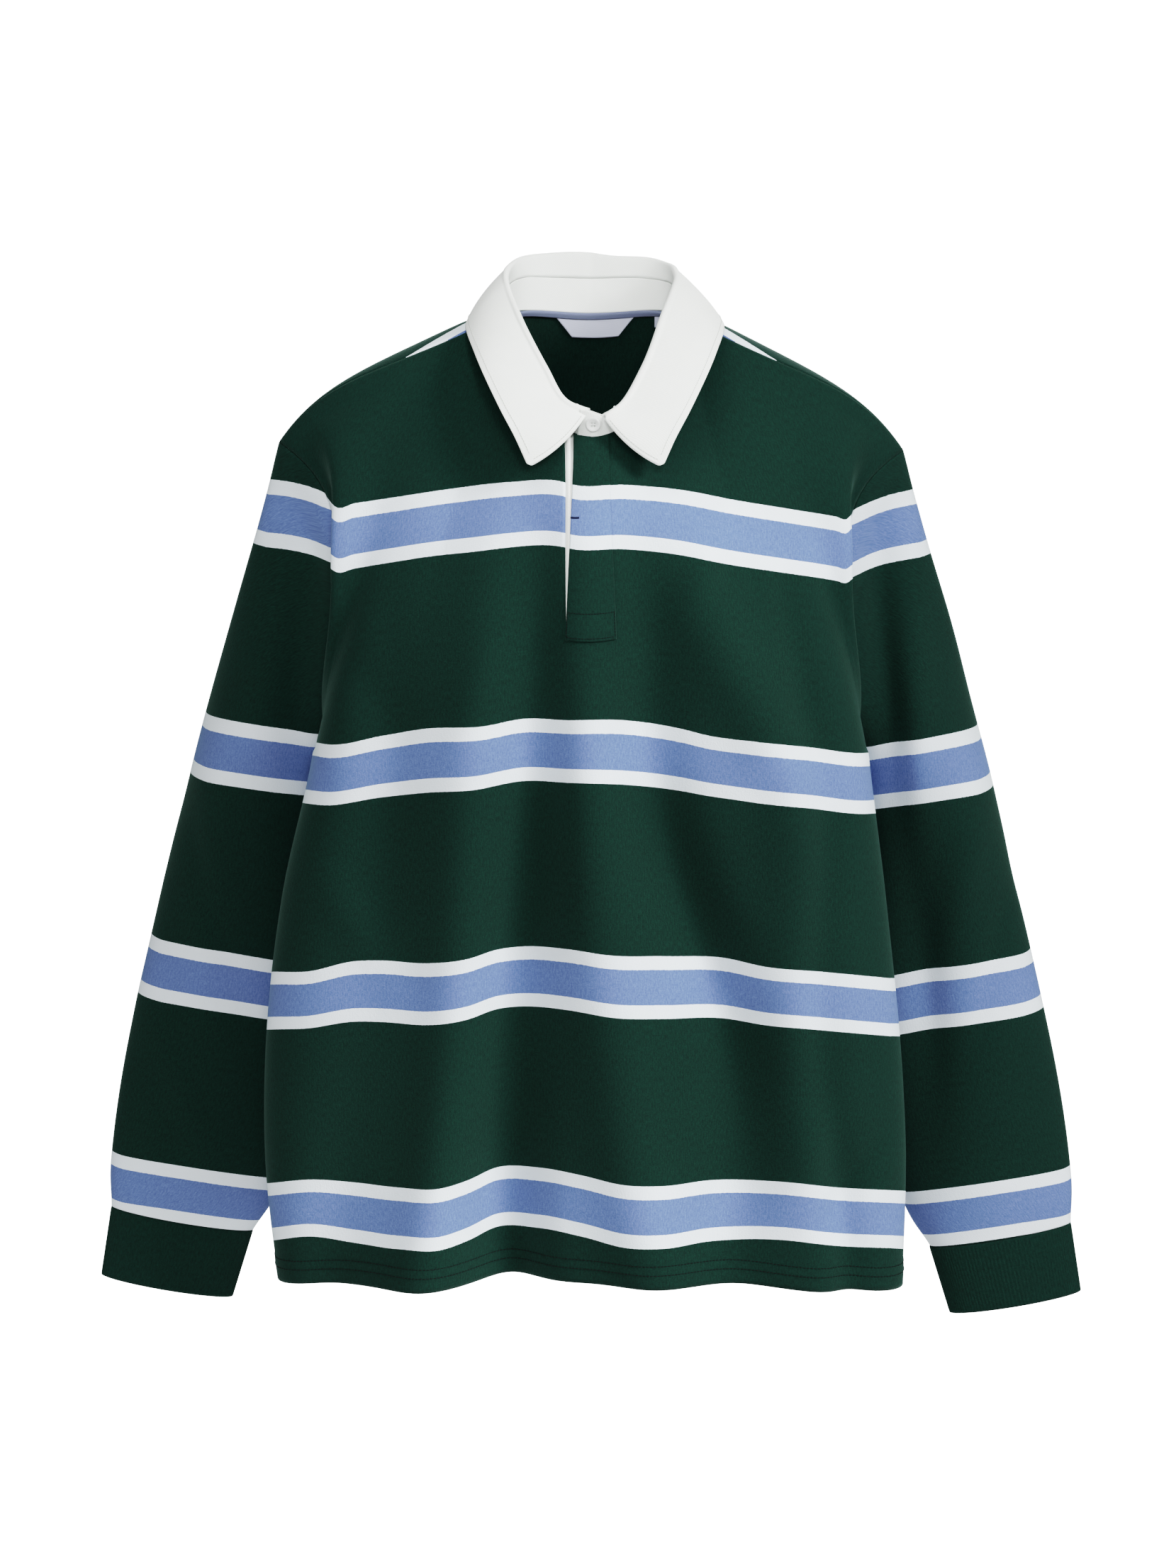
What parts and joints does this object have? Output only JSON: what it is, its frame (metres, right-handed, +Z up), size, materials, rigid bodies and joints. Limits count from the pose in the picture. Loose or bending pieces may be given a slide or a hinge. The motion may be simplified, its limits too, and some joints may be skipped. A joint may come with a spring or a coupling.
{
  "type": "long-sleeved polo shirt",
  "caption": "Long-sleeved striped polo shirt with a contrast collar and short placket, filled out and hollow, open at neck, hem and cuffs.",
  "frame": {"origin": "midway between the shoulders, 16 mm below the two neck points, where the wearer's shoulders carry the shirt", "axes": "+Z up, -Y the shirt's front, +X to the right of someone facing the front"},
  "size_m": [0.7746, 0.2384, 0.8343],
  "materials": {
    "jersey": "heavy cotton jersey, brushed matte, yarn-dyed white and blue stripes",
    "rib": "knitted cotton rib, matte",
    "twill": "woven cotton twill, matte",
    "tape": "woven herringbone tape, matte",
    "label": "woven satin label, slight sheen, bare",
    "button": "polished, slightly translucent"
  },
  "bodies": {
    "root": {"front": "jersey", "back": "jersey", "sleeve_left": "jersey", "sleeve_right": "jersey", "cuff_left": "rib", "cuff_right": "rib", "placket": "jersey", "placket_underlap": "twill", "collar_stand": "twill", "collar_fall": "twill", "neck_tape": "tape", "neck_label": "label", "size_label": "label", "collar_button": "button"}
  },
  "joints": []
}
